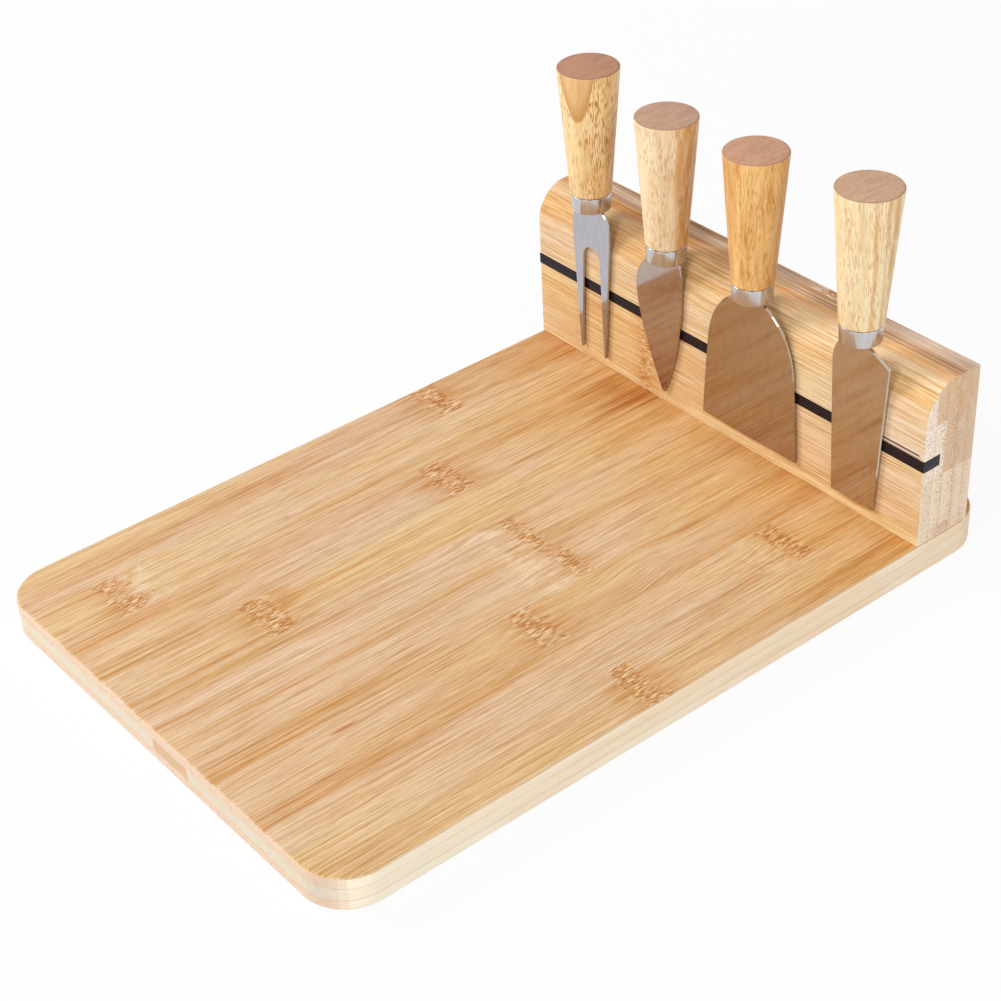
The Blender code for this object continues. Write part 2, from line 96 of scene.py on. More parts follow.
def fade(tree, value, low, high, start=0.0, end=1.0):  # smooth step between two values
    node = tree.nodes.new("ShaderNodeMapRange")
    node.interpolation_type = "SMOOTHSTEP"
    for source, socket in zip((value, low, high, start, end), node.inputs):
        plug(tree, source, socket)
    return node.outputs[0]


def coordinates(tree, kind="Object"):
    node = tree.nodes.new("ShaderNodeTexCoord")
    return node.outputs[kind]


def split(tree, vector):
    node = tree.nodes.new("ShaderNodeSeparateXYZ")
    tree.links.new(vector, node.inputs[0])
    return node.outputs


def combine(tree, x, y, z):
    node = tree.nodes.new("ShaderNodeCombineXYZ")
    for source, socket in zip((x, y, z), node.inputs):
        plug(tree, source, socket)
    return node.outputs[0]


def grain(tree, vector, scale, seed, detail=3.0, rough=0.6, warp=0.0):  # stretched noise, scale per metre
    mapping = tree.nodes.new("ShaderNodeMapping")
    mapping.inputs["Location"].default_value = (seed * 1.7, seed * 3.1, seed * 2.3)
    mapping.inputs["Scale"].default_value = scale
    tree.links.new(vector, mapping.inputs["Vector"])
    noise = tree.nodes.new("ShaderNodeTexNoise")
    noise.inputs["Scale"].default_value = 1.0
    noise.inputs["Detail"].default_value = detail
    noise.inputs["Roughness"].default_value = rough
    noise.inputs["Distortion"].default_value = warp
    tree.links.new(mapping.outputs[0], noise.inputs["Vector"])
    return noise.outputs[0]


def mixColor(tree, factor, a, b, kind="MIX"):
    node = tree.nodes.new("ShaderNodeMix")
    node.data_type = "RGBA"
    node.blend_type = kind
    plug(tree, factor, node.inputs[0])
    plug(tree, a, node.inputs[6])
    plug(tree, b, node.inputs[7])
    return node.outputs[2]


def ramp(tree, factor, stops, kind="LINEAR"):
    node = tree.nodes.new("ShaderNodeValToRGB")
    node.color_ramp.interpolation = kind
    points = node.color_ramp.elements
    while len(points) < len(stops):
        points.new(1.0)
    for point, (position, color) in zip(points, stops):
        point.position = position
        point.color = (*color, 1)
    tree.links.new(factor, node.inputs[0])
    return node.outputs[0]


def feed(tree, shader, sources):  # fills a shader's inputs by name
    for name, source in sources.items():
        plug(tree, source, shader.inputs[name])


def addBump(tree, shader, height, distance, strength):
    node = tree.nodes.new("ShaderNodeBump")
    node.inputs["Strength"].default_value = strength
    node.inputs["Distance"].default_value = distance
    tree.links.new(height, node.inputs["Height"])
    tree.links.new(node.outputs[0], shader.inputs["Normal"])


def tint(tree, color, tone, share=1.0):  # multiplies a colour by a tone, wholly or in part
    return mixColor(tree, share, color, tone, "MULTIPLY")


def spot(tree, along, across, mark):  # soft oval at a place, strongest at its middle
    x = calc(tree, "DIVIDE", minus(tree, along, mark["x"]), mark["halfLength"])
    y = calc(tree, "DIVIDE", minus(tree, across, mark["y"]), mark["halfWidth"])
    return fade(tree, hypotenuse(tree, x, y), 0.35, 1.0, mark["strength"], 0.0)


# Bamboo

bamboo = {
    "pale": (0.832, 0.630, 0.432),
    "middle": (0.797, 0.557, 0.340),
    "orange": (0.675, 0.358, 0.125),
    "gold": (1.0, 0.965, 0.82),  # tints of the wide soft patches
    "pink": (1.0, 0.985, 1.02),
    "lineTint": (0.77, 0.62, 0.45),  # darkens the fibre lines
    "hairTint": (0.875, 0.80, 0.715),
    "lightLine": (0.90, 0.70, 0.49),
    "knuckleDeep": (0.52, 0.205, 0.055),
    "knuckleOrange": (0.66, 0.315, 0.095),
    "knucklePale": (0.90, 0.70, 0.47),
    "knuckleHalo": (0.70, 0.385, 0.150),
    "broadScale": (3.2, 75.0, 75.0),
    "patchScale": (7.0, 34.0, 34.0),
    "bandScale": (8.5, 250.0, 250.0),
    "streakScale": (9.5, 540.0, 540.0),
    "lineScale": (26.0, 2000.0, 2000.0),
    "hairScale": (100.0, 3600.0, 3600.0),
    "dashScale": (290.0, 1750.0, 1750.0),
    "driftScale": (15.0, 50.0, 50.0),
    "drift": 0.0012,
    "rough": (0.62, 0.50),  # here and below: where the noise is low, and where it's high
    "shine": 0.13,
    "bump": (0.00005, 0.3),  # here and below: distance, strength
}
plainStrip = {  # what a strip's own dictionary may change
    "orangeFrom": 0.49,
    "orangeShare": 0.55,
    "paleShare": 0.45,
    "lineShare": 0.92,
    "knuckleShare": 0.95,
    "haloShare": 0.85,
    "swirls": [],  # place along the strip, half length, how far the fibres wander
    "bands": [],
    "marks": [],
}


def wavyGrain(tree, along, across, through, look):
    # the fibres wander a little, and more beside a knuckle or in a swirl
    plain = combine(tree, along, across, through)
    drift = minus(tree, grain(tree, plain, bamboo["driftScale"], look["seed"] + 40, 1.0), 0.5)
    reach = bamboo["drift"]
    for at, half, amount in look["swirls"]:
        reach = plus(tree, fade(tree, gap(tree, along, at), half * 0.15, half, amount, 0.0), reach)
    wander = times(tree, drift, reach)
    return combine(tree, along, plus(tree, across, wander), through), plain


def knuckleFigure(tree, plain, along, color, look):
    # short dashes across the whole strip, in a warmer patch that trails off along the fibres
    seed = look["seed"]
    half = look["knuckleHalf"]
    ragged = minus(tree, grain(tree, plain, (25.0, 330.0, 330.0), seed + 50, 2.0), 0.5)
    shifted = plus(tree, minus(tree, along, look["knuckle"]), times(tree, ragged, half * 2.2))
    distance = calc(tree, "ABSOLUTE", shifted)
    near = fade(tree, distance, half * 0.6, half * 1.4, 1.0, 0.0)
    trail = grain(tree, plain, (22.0, 420.0, 420.0), seed + 55, 1.0)
    halo = fade(tree, distance, half * 0.9, half * 3.6, look["haloShare"], 0.0)
    halo = times(tree, halo, fade(tree, trail, 0.36, 0.60, 0.25, 1.0))
    color = mixColor(tree, halo, color, bamboo["knuckleHalo"])
    if "whiteAt" in look:  # pale blurred patch beside the knuckle
        cloud = grain(tree, plain, (150.0, 220.0, 220.0), seed + 58, 2.0)
        white = fade(tree, gap(tree, shifted, look["whiteAt"]), 0.002, 0.015, 0.8, 0.0)
        white = times(tree, white, fade(tree, cloud, 0.42, 0.60, 0.1, 1.0))
        color = mixColor(tree, white, color, bamboo["lightLine"])
    dash = grain(tree, plain, bamboo["dashScale"], seed + 60, 1.0, 0.5, 0.35)
    flecks = ramp(tree, dash, [(0.41, bamboo["knuckleDeep"]), (0.49, bamboo["knuckleOrange"]),
                               (0.56, bamboo["middle"]), (0.63, bamboo["knucklePale"])])
    thin = fade(tree, grain(tree, plain, (90.0, 170.0, 170.0), seed + 65, 1.0), 0.34, 0.50, 0.60, 1.0)
    share = times(tree, times(tree, near, thin), look["knuckleShare"])
    return mixColor(tree, share, color, flecks), dash, share


def bambooColor(tree, along, across, through, look):
    # colour of a long-grain face, with the height that its bump uses
    look = {**plainStrip, **look}
    vector, plain = wavyGrain(tree, along, across, through, look)
    seed = look["seed"]
    streak = grain(tree, vector, bamboo["streakScale"], seed, 2.0, 0.55)
    line = grain(tree, vector, bamboo["lineScale"], seed + 30, 2.0, 0.6)
    hair = grain(tree, vector, bamboo["hairScale"], seed + 35, 1.0)
    broad = grain(tree, vector, bamboo["broadScale"], seed + 10, 1.5)
    patch = grain(tree, vector, bamboo["patchScale"], seed + 20, 2.0)
    stripe = grain(tree, vector, bamboo["bandScale"], seed + 15, 1.5)
    color = mixColor(tree, fade(tree, streak, 0.30, 0.68), bamboo["middle"], bamboo["pale"])
    warm = fade(tree, broad, look["orangeFrom"], look["orangeFrom"] + 0.2, 0.0, look["orangeShare"])
    stripes = times(tree, fade(tree, stripe, 0.54, 0.70, 0.0, 0.46), fade(tree, broad, 0.38, 0.56, 0.25, 1.0))
    color = mixColor(tree, calc(tree, "MAXIMUM", warm, stripes), color, bamboo["orange"])
    color = mixColor(tree, fade(tree, patch, 0.50, 0.66, 0.0, look["paleShare"]), color, bamboo["pale"])
    color = tint(tree, color, mixColor(tree, fade(tree, patch, 0.36, 0.58), bamboo["gold"], bamboo["pink"]))
    for place, half, start, end, strength, tone in look["bands"]:
        inside = fade(tree, gap(tree, across, place), half * 0.4, half * 1.3, strength, 0.0)
        length = fade(tree, along, start, end)
        ragged = fade(tree, streak, 0.38, 0.60, 1.2, 0.5)
        share = calc(tree, "MULTIPLY", times(tree, inside, length), ragged, clamp=True)
        color = mixColor(tree, share, color, tone)
    height = minus(tree, times(tree, streak, 0.5), line)
    calm = 1.0  # the fibre lines fade over a knuckle
    if "knuckle" in look:
        color, dash, share = knuckleFigure(tree, plain, along, color, look)
        height = plus(tree, height, times(tree, dash, times(tree, share, 0.5)))
        calm = minus(tree, 1.0, times(tree, share, 0.7))
    lines = times(tree, fade(tree, line, 0.49, 0.65, 0.0, look["lineShare"]), calm)
    color = tint(tree, color, bamboo["lineTint"], lines)
    paleLines = times(tree, fade(tree, line, 0.45, 0.34, 0.0, 0.5), calm)
    color = mixColor(tree, paleLines, color, bamboo["lightLine"])
    color = tint(tree, color, bamboo["hairTint"], fade(tree, hair, 0.47, 0.60))
    for mark in look["marks"]:
        color = mixColor(tree, spot(tree, along, across, mark), color, mark["tone"])
    return color, streak, height


def faceMask(tree, axis):  # 1 on faces square to that axis
    normal = split(tree, coordinates(tree, "Normal"))[axis]
    return fade(tree, calc(tree, "ABSOLUTE", normal), 0.45, 0.85)


def finishBamboo(tree, shader, color, streak, height):
    rough = fade(tree, streak, 0.3, 0.7, *bamboo["rough"])
    feed(tree, shader, {"Base Color": color, "Roughness": rough, "Specular IOR Level": bamboo["shine"]})
    addBump(tree, shader, height, *bamboo["bump"])


# Board: strips side by side in three layers. Those of the faces have a knuckle, at its place along X

orange = bamboo["orange"]
russet = (0.58, 0.25, 0.07)
amber = (0.60, 0.30, 0.11)
boardStrips = [
    # bands: place across, half width, where it fades in and where it is full along X, strength, tone
    # the bands that grow towards the block, in strips 1, 3 and 4, are painted shade and warm painted
    # reflection of the block
    {"seed": 1, "knuckle": 0.0465, "knuckleHalf": 0.0062, "tone": (0.99, 0.97, 0.96),
     "bands": [(0.0900, 0.0070, 0.060, 0.105, 0.65, orange)]},
    {"seed": 2, "knuckle": -0.1255, "knuckleHalf": 0.0060, "whiteAt": 0.012, "tone": (1.0, 1.0, 1.0),
     "bands": [(0.0858, 0.0009, -0.095, -0.115, 0.9, orange)],
     "marks": [{"x": -0.0502, "y": 0.0715, "halfLength": 0.0024, "halfWidth": 0.0020, "strength": 0.6,
                "tone": (0.62, 0.35, 0.20)}]},
    {"seed": 3, "knuckle": 0.0135, "knuckleHalf": 0.0060, "tone": (0.99, 0.97, 0.96),
     "bands": [(0.0392, 0.0016, -0.030, -0.110, 0.8, orange),
               (0.0382, 0.0008, -0.050, 0.090, 0.7, orange),
               (0.0400, 0.0100, 0.075, 0.113, 1.0, russet),
               (0.0570, 0.0080, 0.080, 0.110, 0.7, amber)]},
    {"seed": 4, "knuckle": -0.0909, "knuckleHalf": 0.0062, "tone": (1.0, 0.99, 0.93),
     "bands": [(0.0352, 0.0024, -0.060, -0.110, 0.75, orange),
               (0.0150, 0.0030, -0.070, -0.120, 0.6, orange),
               (0.0360, 0.0035, 0.060, 0.108, 0.9, russet),
               (0.0240, 0.0050, 0.060, 0.085, 0.6, orange)],
     "marks": [{"x": -0.0424, "y": 0.0143, "halfLength": 0.0022, "halfWidth": 0.0018, "strength": 0.4,
                "tone": (0.58, 0.34, 0.18)}]},
    {"seed": 5, "knuckle": 0.0128, "knuckleHalf": 0.0036, "whiteAt": -0.012, "haloShare": 0.5,
     "tone": (1.0, 0.99, 0.97), "swirls": [(0.000, 0.022, 0.010)]},
    {"seed": 6, "knuckle": 0.0140, "knuckleHalf": 0.0040, "whiteAt": -0.014, "haloShare": 0.5,
     "tone": (1.0, 0.98, 0.93), "swirls": [(-0.002, 0.024, 0.012)],
     "bands": [(-0.0345, 0.0026, -0.020, -0.080, 0.8, orange),
               (-0.0090, 0.0050, -0.030, -0.110, 0.5, orange)]},
    {"seed": 7, "knuckle": -0.0208, "knuckleHalf": 0.0058, "tone": (1.0, 0.98, 0.92),
     "swirls": [(0.030, 0.034, 0.016), (-0.021, 0.020, 0.006)],
     "bands": [(-0.0380, 0.0018, -0.020, -0.080, 0.8, orange),
               (-0.0600, 0.0030, 0.000, 0.060, 0.5, orange)],
     "marks": [{"x": -0.1075, "y": -0.0461, "halfLength": 0.0075, "halfWidth": 0.0010, "strength": 0.85,
                "tone": (0.50, 0.20, 0.07)}]},
    {"seed": 8, "knuckle": 0.0822, "knuckleHalf": 0.0044, "whiteAt": -0.012, "haloShare": 0.4,
     "tone": (1.0, 0.98, 0.95), "swirls": [(0.070, 0.045, 0.013)],
     "bands": [(-0.0840, 0.0035, 0.000, 0.040, 0.5, orange)]},
    {"seed": 9, "knuckle": -0.0159, "knuckleHalf": 0.0052, "tone": (1.0, 0.98, 0.92)},
]
underside = {
    "seedStep": 100,
    "knuckles": (-0.062, 0.094, -0.118, 0.031, 0.119, -0.027, 0.066, -0.134, 0.008),
    "knuckleHalf": 0.0055,
}
boardLook = {
    "nearBlockShade": (0.965, 0.885, 0.715),  # painted shade and warm painted reflection of the block, on the top beside it
    "nearBlockShadeFrom": 0.035,
    "nearBlockShadeTo": 0.100,
    "joint": (0.88, 0.78, 0.64),  # painted contact shadow, darker along the joint with the block
    "jointShadeFrom": 0.096,
    "jointShadeTo": 0.116,
    "edge": (0.945, 0.755, 0.545),
    "edgeDark": (0.885, 0.665, 0.450),
    "edgePale": (0.955, 0.885, 0.715),  # the long side towards the front corner
    "end": (0.80, 0.615, 0.465),
    "endDark": (0.74, 0.530, 0.380),
}


def edgeColor(tree, look):
    # sawn long side with fibre lines, and the speckled ends of the strips
    vector = coordinates(tree)
    fibre = grain(tree, vector, (9.0, 500.0, 650.0), look["seed"] + 80, 3.0, 0.6)
    cloud = grain(tree, vector, (22.0, 200.0, 160.0), look["seed"] + 85, 2.0)
    side = ramp(tree, fibre, [(0.32, boardLook["edgeDark"]), (0.52, boardLook["edge"])])
    side = mixColor(tree, fade(tree, cloud, 0.46, 0.66, 0.0, 0.6), side, boardLook["edgePale"])
    x = split(tree, vector)[0]
    side = mixColor(tree, fade(tree, x, -0.02, -0.15, 0.0, 0.7), side, boardLook["edgePale"])
    speckle = grain(tree, vector, (200.0, 420.0, 700.0), look["seed"] + 90, 2.0, 0.6)
    end = ramp(tree, speckle, [(0.30, boardLook["endDark"]), (0.58, boardLook["end"])])
    return mixColor(tree, faceMask(tree, 0), side, end)


def boardMaterial(name, look, isFace):
    material, tree, shader = startMaterial(name)
    along, across, through = split(tree, coordinates(tree))
    color, streak, height = bambooColor(tree, along, across, through, look)
    color = tint(tree, color, look["tone"])
    if isFace:  # painted shade: the serving face is darker towards the block, with a patchy painted contact shadow along the joint
        share = fade(tree, along, boardLook["nearBlockShadeFrom"], boardLook["nearBlockShadeTo"])
        color = tint(tree, color, boardLook["nearBlockShade"], share)
        # patchy painted contact shadow along the joint with the block
        blotchNoise = grain(tree, combine(tree, along, across, through), (45.0, 45.0, 45.0), 95, 2.0)
        share = fade(tree, along, boardLook["jointShadeFrom"], boardLook["jointShadeTo"])
        share = times(tree, share, fade(tree, blotchNoise, 0.36, 0.60, 0.3, 1.0))
        color = tint(tree, color, boardLook["joint"], share)
    color = mixColor(tree, faceMask(tree, 2), edgeColor(tree, look), color)
    finishBamboo(tree, shader, color, streak, height)
    return material


coreLook = {
    "strips": 10,
    "darkStrip": 6,
    "seed": 200,
    "tone": (0.945, 0.790, 0.595),
    "toneDark": (0.885, 0.700, 0.490),
    "endTint": (0.80, 0.79, 0.80),
    "stripTone": (0.70, 0.470, 0.285),  # the darker strip's end
    "stripToneDark": (0.66, 0.420, 0.235),
}


def coreMaterial(name, seed, dark):
    material, tree, shader = startMaterial(name)
    vector = coordinates(tree)
    fibre = grain(tree, vector, (9.0, 500.0, 600.0), seed, 3.0, 0.6)
    fine = grain(tree, vector, (260.0, 900.0, 900.0), seed + 5, 2.0, 0.65)
    low, high = coreLook["toneDark"], coreLook["tone"]
    if dark:
        low, high = coreLook["stripToneDark"], coreLook["stripTone"]
    color = ramp(tree, fibre, [(0.32, low), (0.54, high)])
    color = mixColor(tree, fade(tree, fine, 0.52, 0.72, 0.0, 0.45), color, low)
    if not dark:
        x = split(tree, vector)[0]
        color = mixColor(tree, fade(tree, x, -0.02, -0.15, 0.0, 0.5), color, boardLook["edgePale"])
        color = tint(tree, color, coreLook["endTint"], faceMask(tree, 0))
    finishBamboo(tree, shader, color, fibre, fine)
    return material


def give(name, material):
    slots = nodes[name].data.materials
    slots.clear()
    slots.append(material)


def dressBoard():
    for number, look in enumerate(boardStrips, 1):
        give(f"top_strip_{number}", boardMaterial(f"topStrip{number}", look, True))
        under = {"seed": look["seed"] + underside["seedStep"], "knuckle": underside["knuckles"][number - 1],
                 "knuckleHalf": underside["knuckleHalf"], "tone": look["tone"]}
        give(f"bottom_strip_{number}", boardMaterial(f"bottomStrip{number}", under, False))
    for number in range(1, coreLook["strips"] + 1):
        dark = number == coreLook["darkStrip"]
        give(f"core_strip_{number}", coreMaterial(f"coreStrip{number}", coreLook["seed"] + number, dark))
    print("board dressed")


dressBoard()


# Upright block: its plies run along Y, with strips glued edge to edge up the height

blockLook = {
    "seams": (0.005, 0.0288, 0.0524),  # heights above the foot where strips meet
    "seamHalf": 0.00022,
    "seamShare": 0.55,
    "speckDark": (0.42, 0.27, 0.16),
    "speckPale": (0.92, 0.78, 0.62),
    "topLine": (0.66, 0.50, 0.42),
    # painted light on the tops towards the -Y end
    "topRight": (1.18, 1.17, 1.12),
    "rightPaintedLight": (1.07, 1.17, 1.30),  # painted light: the front is paler towards the -Y end
}
magnetGapShadeLook = {  # painted shade in the gap over the magnet at the -Y end, with a painted glint line and a painted shadow line, measured up from the groove
    "end": -0.1085,
    "start": -0.075,
    "top": 0.00205,
    "tone": (0.30, 0.17, 0.11),
    "lines": (  # height, half thickness, tone
        (0.0008, 0.00030, (0.90, 0.78, 0.68)),
        (0.00175, 0.00040, (0.03, 0.015, 0.010))),
}
plainPly = {"lineShare": 1.0, "orangeFrom": 0.44, "dense": 0}
even = (1.0, 1.0, 1.0)
plyLooks = {
    # face, end: a tone for each strip, from the foot up
    # dense: the side of the end where the specks crowd, 1 for the back and -1 for the front
    # top: a tint of painted light on the upward faces; topLines: how strongly fibre lines show there
    "block_front_ply_lower": {
        "seed": 301, "knuckle": 0.0420, "knuckleHalf": 0.0034, "paleShare": 0.6,
        "face": ((1.05, 1.07, 0.92), (1.0, 0.98, 0.87), (1.0, 1.0, 0.92), (1.0, 1.0, 0.92)),
        "end": ((0.91, 0.73, 0.57), (0.91, 0.73, 0.57), (0.98, 0.84, 0.72), (0.97, 0.80, 0.65))},
    "block_front_ply_upper": {
        "seed": 302, "paleShare": 0.7, "top": (1.14, 1.16, 1.10), "gapShade": True,
        "face": (even, even, (1.005, 1.07, 1.12), (1.01, 1.02, 0.96)),
        "end": ((0.97, 0.79, 0.65), (0.97, 0.79, 0.65), (0.99, 0.85, 0.74), (0.97, 0.81, 0.66))},
    "block_ply_2": {
        "seed": 303, "dense": 1, "top": (1.15, 1.19, 1.14), "topLines": 0.25,
        "face": (even, even, even, (1.0, 1.0, 0.98)),
        "end": ((0.91, 0.70, 0.53), (0.96, 0.78, 0.60), (0.99, 0.83, 0.68), (0.79, 0.57, 0.365))},
    "block_ply_3": {
        "seed": 304, "dense": 1, "top": (1.17, 1.06, 0.88), "topLines": 0.4, "face": (even,) * 4,
        "end": ((0.80, 0.55, 0.40), (0.95, 0.76, 0.58), (0.78, 0.545, 0.365), (0.79, 0.545, 0.340))},
    "block_ply_4": {
        "seed": 305, "dense": -1, "top": (1.05, 1.18, 1.52), "topLines": 0.9, "face": (even,) * 4,
        "end": ((0.88, 0.69, 0.52), (0.91, 0.71, 0.53), (0.75, 0.525, 0.355), (0.76, 0.510, 0.305))},
    "block_ply_5": {
        "seed": 306, "dense": -1, "knuckle": -0.035, "knuckleHalf": 0.0060,
        "shift": (-0.047, 0.076, 0.012, 0.0),  # moves each strip's knuckle along the back
        "top": (1.08, 1.26, 1.68), "topLines": 0.9,
        "face": (even, (1.0, 0.99, 0.97), (1.02, 1.02, 1.02), (0.98, 0.96, 0.95)),
        "end": ((0.91, 0.70, 0.53), (0.91, 0.70, 0.53), (0.76, 0.575, 0.390), (0.77, 0.535, 0.345))},
}
blockFoot, blockTop = (corner.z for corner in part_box("block_ply_3"))


def heightBands(tree, height, tones):  # one tone for each strip, from the foot up
    blockHeight = blockTop - blockFoot
    share = calc(tree, "DIVIDE", minus(tree, height, blockFoot), blockHeight)
    stops = [(0.0, tones[0])]
    stops += [(seam / blockHeight, tone) for seam, tone in zip(blockLook["seams"], tones[1:])]
    return ramp(tree, share, stops, "CONSTANT")


def seamLine(tree, height):  # thin line where two strips of a ply meet
    half, share = blockLook["seamHalf"], blockLook["seamShare"]
    lines = 0.0
    for seam in blockLook["seams"]:
        line = fade(tree, gap(tree, height, blockFoot + seam), 0.00005, half, share, 0.0)
        lines = plus(tree, lines, line)
    return lines


def magnetGapShade(tree, color, y, z):  # painted shade in the gap over the magnet at the -Y end, with a painted glint line on the magnet's edge and a painted shadow line above it
    gapShade = magnetGapShadeLook
    rise = minus(tree, z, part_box("block_front_ply_upper")[0].z)
    along = times(tree, fade(tree, y, gapShade["end"], gapShade["end"] + 0.002),
                  fade(tree, y, gapShade["start"], gapShade["start"] - 0.004))
    zone = times(tree, along, fade(tree, rise, gapShade["top"] - 0.0003, gapShade["top"], 0.75, 0.0))
    color = mixColor(tree, zone, color, gapShade["tone"])
    for height, half, tone in gapShade["lines"]:
        share = times(tree, along, fade(tree, gap(tree, rise, height), half * 0.4, half, 0.95, 0.0))
        color = mixColor(tree, share, color, tone)
    return color


def plyTopWithLight(tree, color, x, y, z, upward, look):  # the sawn upper edge, with painted light that lightens its upward faces, more so towards the -Y end
    color = tint(tree, color, look["top"], fade(tree, upward, 0.25, 0.65))
    if "topLines" in look:
        stripe = grain(tree, combine(tree, y, x, z), (5.0, 620.0, 620.0), look["seed"] + 70, 2.0, 0.6)
        flat = fade(tree, upward, 0.60, 0.90, 0.0, look["topLines"])
        lines = times(tree, flat, fade(tree, stripe, 0.46, 0.64))
        color = tint(tree, color, blockLook["topLine"], lines)
        # painted light, lighter towards the -Y end
        right = times(tree, fade(tree, y, 0.04, -0.03), fade(tree, upward, 0.60, 0.90))
        color = tint(tree, color, blockLook["topRight"], right)
    return color


def plyEnd(tree, name, x, y, z, look):  # speckled ends of the strips
    vector = combine(tree, x, y, z)
    speckle = grain(tree, vector, (1700.0, 60.0, 1300.0), look["seed"] + 80, 2.0, 0.7)
    cloud = grain(tree, vector, (240.0, 20.0, 90.0), look["seed"] + 85, 2.0)
    low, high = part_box(name)
    place = calc(tree, "DIVIDE", minus(tree, x, (low.x + high.x) / 2), high.x - low.x)
    speckle = plus(tree, speckle, times(tree, place, 0.14 * look["dense"]))
    end = heightBands(tree, z, look["end"])
    end = mixColor(tree, fade(tree, speckle, 0.51, 0.66, 0.0, 0.70), end, blockLook["speckDark"])
    return mixColor(tree, fade(tree, cloud, 0.50, 0.72, 0.0, 0.40), end, blockLook["speckPale"])


def blockMaterial(name, look):
    material, tree, shader = startMaterial(name + "Bamboo")
    x, y, z = split(tree, coordinates(tree))
    look = {**plainPly, **look}
    along = y
    if "shift" in look:
        steps = [(0.5 + shift,) * 3 for shift in look["shift"]]  # around 0.5, as a ramp cuts off below zero
        along = plus(tree, y, minus(tree, split(tree, heightBands(tree, z, steps))[0], 0.5))
    color, streak, height = bambooColor(tree, along, z, x, look)
    color = tint(tree, color, heightBands(tree, z, look["face"]))
    color = tint(tree, color, bamboo["lineTint"], seamLine(tree, z))
    upward = split(tree, coordinates(tree, "Normal"))[2]
    # painted light, paler towards the -Y end on all but the upward faces
    right = times(tree, fade(tree, y, 0.08, -0.09), fade(tree, upward, 0.25, 0.65, 1.0, 0.0))
    color = tint(tree, color, blockLook["rightPaintedLight"], right)
    # painted shade and painted glint over the magnet
    if "gapShade" in look:
        color = magnetGapShade(tree, color, y, z)
    if "top" in look:
        color = plyTopWithLight(tree, color, x, y, z, upward, look)
    color = mixColor(tree, faceMask(tree, 1), color, plyEnd(tree, name, x, y, z, look))
    finishBamboo(tree, shader, color, streak, height)
    return material


def dressBlock():
    for name, look in plyLooks.items():
        give(name, blockMaterial(name, look))
    print("block dressed")


dressBlock()


# Magnetic strip and the screws under the board

magnetLook = {
    "tone": (0.011, 0.006, 0.009),
    "paler": (0.028, 0.017, 0.023),
    "end": (0.050, 0.053, 0.066),
    "rough": (0.42, 0.58),
    "shine": 0.15,
    "bump": (0.00004, 0.4),
}
screwLook = {
    "count": 3,
    "tone": (0.60, 0.60, 0.61),
    "worn": (0.42, 0.42, 0.43),
    "rough": (0.40, 0.25),
    "bump": (0.00003, 0.3),
}


def magnetMaterial():
    look = magnetLook
    material, tree, shader = startMaterial("bondedMagnet")
    vector = coordinates(tree)
    dust = grain(tree, vector, (700.0, 700.0, 700.0), 401, 4.0, 0.7)
    smear = grain(tree, vector, (60.0, 18.0, 160.0), 402, 2.0)
    color = ramp(tree, dust, [(0.40, look["tone"]), (0.66, look["paler"])])
    color = mixColor(tree, fade(tree, smear, 0.5, 0.8, 0.0, 0.35), color, look["paler"])
    color = mixColor(tree, faceMask(tree, 1), color, mixColor(tree, 0.5, color, look["end"]))
    rough = fade(tree, smear, 0.35, 0.7, *look["rough"])
    feed(tree, shader, {"Base Color": color, "Roughness": rough, "Specular IOR Level": look["shine"]})
    addBump(tree, shader, dust, *look["bump"])
    return material


def screwMaterial():
    look = screwLook
    material, tree, shader = startMaterial("zincPlate")
    cloud = grain(tree, coordinates(tree), (350.0, 350.0, 350.0), 411, 3.0)
    color = ramp(tree, cloud, [(0.35, look["worn"]), (0.6, look["tone"])])
    rough = fade(tree, cloud, 0.3, 0.7, *look["rough"])
    feed(tree, shader, {"Base Color": color, "Roughness": rough, "Metallic": 1.0})
    addBump(tree, shader, cloud, *look["bump"])
    return material


def dressSmallParts():
    give("magnet_strip", magnetMaterial())
    zinc = screwMaterial()
    for number in range(1, screwLook["count"] + 1):
        give(f"block_screw_{number}", zinc)
    print("magnet and screws dressed")


dressSmallParts()


# Modelling helpers

touching = 0.00001  # corners nearer than this are at one place
cutOverrun = 0.001
smoothAngle = 35


def startPiece(name):  # the primitive just added
    piece = bpy.context.object
    piece.name = name
    piece.data.name = name
    return piece


def pick(piece, kind, test):  # in edit mode, only the faces or edges that pass a test on their corners
    mesh = piece.data
    bpy.ops.object.mode_set(mode="EDIT")
    bpy.ops.mesh.select_mode(type="FACE" if kind == "faces" else "EDGE")
    bpy.ops.mesh.select_all(action="DESELECT")
    bpy.ops.object.mode_set(mode="OBJECT")
    for item in mesh.polygons if kind == "faces" else mesh.edges:
        item.select = test([mesh.vertices[corner].co for corner in item.vertices])
    bpy.ops.object.mode_set(mode="EDIT")


def level(height):  # a test for corners all at one height
    return lambda corners: all(abs(corner.z - height) < touching for corner in corners)


def roundEdges(piece, test, radius, steps):
    pick(piece, "edges", test)
    bpy.ops.mesh.bevel(offset=radius, segments=steps, affect="EDGES")
    bpy.ops.object.mode_set(mode="OBJECT")


def pushEnd(piece, height, margin, distance):  # moves the middle of an end face up or down, inside a margin
    pick(piece, "faces", level(height))
    bpy.ops.mesh.inset(thickness=margin)
    bpy.ops.mesh.extrude_region_move(TRANSFORM_OT_translate={"value": (0, 0, distance)})
    bpy.ops.object.mode_set(mode="OBJECT")


def endPiece(piece, body, material, replaced):
    bpy.ops.object.select_all(action="DESELECT")
    piece.select_set(True)
    bpy.context.view_layer.objects.active = piece
    bpy.ops.object.transform_apply()
    bpy.ops.object.shade_smooth_by_angle(angle=math.radians(smoothAngle))
    piece.data.materials.clear()
    piece.data.materials.append(material)
    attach(piece, body)
    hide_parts(*replaced)


